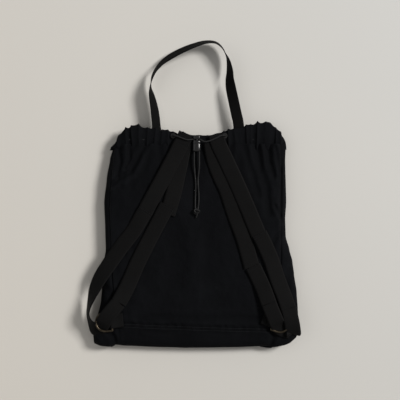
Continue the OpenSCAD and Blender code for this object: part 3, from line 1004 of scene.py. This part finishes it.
def makeLock():
    low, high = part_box("lock_body")
    x = (low.x + high.x) / 2 / mm
    z = (low.z + high.z) / 2 / mm
    y0, y1 = low.y / mm, high.y / mm
    half = (high.x - low.x) / 2 / mm
    flat = (high.z - low.z) / (high.x - low.x)
    profile = [
        (y0, half * 0.80), (y0 + 0.4, half * 0.90), (y0 + 1.4, half * 0.97), (y0 + 3, half),
        (y1 - 8, half), (y1 - 7.4, half * 0.965), (y1 - 6.4, half * 0.965), (y1 - 5.8, half),  # the groove
        (y1 - 2.4, half), (y1 - 0.8, half * 0.95), (y1 - 0.2, half * 0.86), (y1, half * 0.72),
    ]
    barrel = latheAlongY("lockBarrel", profile, (x, z), flat, plastic)
    off, boreZ = cordSizes["off"], cordSizes["boreZ"]
    borePiece(barrel, [(x - off, boreZ, lock["bore"]), (x + off, boreZ, lock["bore"])], y0 - 5, y1 + 5)
    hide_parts("lock_body")
    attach(barrel, "lock")
    low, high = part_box("lock_button")
    bx = (low.x + high.x) / 2 / mm
    top, bottom = high.y / mm, high.y / mm - lock["buttonLong"]
    headHalf = (high.x - low.x) / 2 / mm
    headZ = (high.z / mm + lock["buttonFoot"]) / 2
    depth = (high.z / mm - lock["buttonFoot"]) / 2 / headHalf
    head = [(bottom, headHalf * 0.84), (bottom + 0.5, headHalf * 0.96), (bottom + 1.4, headHalf),
            (top - 1.8, headHalf), (top - 0.6, headHalf * 0.93), (top, headHalf * 0.74)]
    cap = latheAlongY("buttonHead", head, (bx, headZ), depth, plastic)
    r = lock["stem"]
    stem = [(low.y / mm, r), (bottom - 0.2, r + 0.05), (bottom + 0.5, r + 0.05), (bottom + 4.5, r)]
    rod = latheAlongY("buttonStem", stem, (bx, boreZ), 1.0, plastic, 20, 1.0)
    for piece in (cap, rod):
        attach(piece, "button")
    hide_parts("lock_button")
    print("cord lock")


makeLock()

# ---------- CAD pieces that stay, with a better finish

kept = (
    ("ring_left", ringMetal),
    ("ring_right", ringMetal),
    ("eyelet_left", eyeletMetal),
    ("eyelet_right", eyeletMetal),
    ("lock_spring", springSteel),
)
for nodeName, material in kept:
    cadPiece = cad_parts[nodeName]
    cadPiece.data.materials.clear()
    cadPiece.data.materials.append(material)
    if nodeName.startswith("ring"):
        cadPiece.data.polygons.foreach_set("use_smooth", [True] * len(cadPiece.data.polygons))


# ---------- stitches, laid by geometry nodes

def stitchTree():
    tree = bpy.data.node_groups.new("stitchRow", "GeometryNodeTree")
    face = tree.interface
    face.new_socket("Geometry", in_out="INPUT", socket_type="NodeSocketGeometry")
    sizes = {}
    for label, value in (("Pitch", 0.0034), ("Stitch length", 0.0023), ("Thread radius", 0.00032)):
        made = face.new_socket(label, in_out="INPUT", socket_type="NodeSocketFloat")
        made.default_value = value
        sizes[label] = made.identifier
    finish = face.new_socket("Thread", in_out="INPUT", socket_type="NodeSocketMaterial")
    sizes["Thread"] = finish.identifier
    face.new_socket("Geometry", in_out="OUTPUT", socket_type="NodeSocketGeometry")
    nodes, link = tree.nodes, tree.links.new
    source, result = nodes.new("NodeGroupInput"), nodes.new("NodeGroupOutput")
    spaced = nodes.new("GeometryNodeCurveToPoints")
    spaced.mode = "LENGTH"
    link(source.outputs["Geometry"], spaced.inputs["Curve"])
    link(source.outputs["Pitch"], spaced.inputs["Length"])
    bar = nodes.new("GeometryNodeMeshCylinder")
    bar.inputs["Vertices"].default_value = 6
    link(source.outputs["Thread radius"], bar.inputs["Radius"])
    link(source.outputs["Stitch length"], bar.inputs["Depth"])
    seed = nodes.new("FunctionNodeRandomValue")
    seed.data_type = "FLOAT_VECTOR"
    seed.inputs["Min"].default_value = (0.85, 0.85, 0.85)
    seed.inputs["Max"].default_value = (1.1, 1.1, 1.05)
    seed.inputs["Seed"].default_value = 7
    lay = nodes.new("GeometryNodeInstanceOnPoints")
    link(spaced.outputs["Points"], lay.inputs["Points"])
    link(bar.outputs["Mesh"], lay.inputs["Instance"])
    link(spaced.outputs["Rotation"], lay.inputs["Rotation"])
    link(seed.outputs["Value"], lay.inputs["Scale"])
    real = nodes.new("GeometryNodeRealizeInstances")
    link(lay.outputs["Instances"], real.inputs["Geometry"])
    dye = nodes.new("GeometryNodeSetMaterial")
    link(real.outputs["Geometry"], dye.inputs["Geometry"])
    link(source.outputs["Thread"], dye.inputs["Material"])
    link(dye.outputs["Geometry"], result.inputs["Geometry"])
    return tree, sizes


stitches, stitchSizes = stitchTree()


def stitchPiece(name, lines, body, material, pitch=0.0034, long=0.0024, radius=0.00034):
    data = bpy.data.curves.new(name + "Guide", "CURVE")
    data.dimensions = "3D"
    for points in lines:
        line = data.splines.new("POLY")
        line.points.add(len(points) - 1)
        for spot, p in zip(line.points, points):
            spot.co = (p[0], p[1], p[2], 1)
    guide = bpy.data.objects.new(name + "Guide", data)
    bpy.context.collection.objects.link(guide)
    row = guide.modifiers.new("stitchRow", "NODES")
    row.node_group = stitches
    row[stitchSizes["Pitch"]] = pitch
    row[stitchSizes["Stitch length"]] = long
    row[stitchSizes["Thread radius"]] = radius
    row[stitchSizes["Thread"]] = material
    graph = bpy.context.evaluated_depsgraph_get()
    mesh = bpy.data.meshes.new_from_object(guide.evaluated_get(graph))
    bpy.data.objects.remove(guide)
    mesh.name = name
    if not mesh.materials:
        mesh.materials.append(material)
    piece = bpy.data.objects.new(name, mesh)
    bpy.context.collection.objects.link(piece)
    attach(piece, body)
    return piece


def onShell(x, y, lift=0.25):
    return shellPoint(x, y, True) + Vector((0, 0, lift * mm))


def makeStitches():
    seam = [[onShell(x, baseSeam(x) - off) for x in range(-190, 190, 4)] for off in (2.6, 8.2)]
    stitchPiece("baseSeamStitches", seam, "bag", seamThread)
    sides = []
    for seamAt, off in ((seamLeft, 3.0), (seamRight, -3.0)):
        sides.append([onShell(seamAt(y) + off, y) for y in range(-154, 172, 4)])
    stitchPiece("sideSeamStitches", sides, "bag", thread)

    proud = Vector((0, 0, 1.15))  # from a strap's middle to just above its face

    def alongRows(points, low, high, rows):
        # lines of stitching along a strap, between two places on it
        line = spline(points, 60)
        out = []
        for k in rows:
            a, b = line[int(low * 59)], line[int(high * 59)]
            ahead = (Vector(b[:3]) - Vector(a[:3])).normalized()
            side = ahead.cross(Vector((0, 0, 1)))
            stretch = line[int(low * 59):int(high * 59)]
            out.append([(Vector(p[:3]) + side * k + proud) * mm for p in stretch])
        return out

    def acrossRows(points, spots, half=12.5):
        line = spline(points, 60)
        out = []
        for f in spots:
            i = max(1, min(58, int(f * 59)))
            ahead = (Vector(line[i + 1][:3]) - Vector(line[i - 1][:3])).normalized()
            side = ahead.cross(Vector((0, 0, 1)))
            here = Vector(line[i][:3])
            steps = (-half, -half / 2, 0, half / 2, half)
            out.append([(here + side * s + proud) * mm for s in steps])
        return out

    tacks = acrossRows(outerLeftLow, (0.02, 0.05, 0.10)) + acrossRows(outerRightLow, (0.03, 0.07, 0.12))
    tacks += acrossRows(innerRightLow, (0.05, 0.16)) + acrossRows(innerLeftLow, (0.03, 0.07))
    stitchPiece("strapLapStitches", tacks, "bag", thread)
    tops = acrossRows(outerLeftTop, (0.04, 0.10, 0.20)) + acrossRows(outerRightTop, (0.04, 0.09, 0.17))
    tops += alongRows(outerLeftTop, 0.04, 0.20, (-12.5, 12.5))
    tops += alongRows(outerRightTop, 0.04, 0.17, (-12.5, 12.5))
    stitchPiece("strapTopStitches", tops, "bag", thread)
    print("stitches")


makeStitches()


# ---------- floor

def makeFloor():
    half = studio["floorSize"] / 2
    lowest = min(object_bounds()[0].z, 0.0)
    points = [(-half, -half, lowest), (half, -half, lowest), (half, half, lowest), (-half, half, lowest)]
    floor = addMesh("paleFloor", points, [(0, 1, 2, 3)], floorMaterial(), smooth=False)
    print("floor at", round(lowest * 1000, 2), "mm")


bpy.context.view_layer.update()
makeFloor()
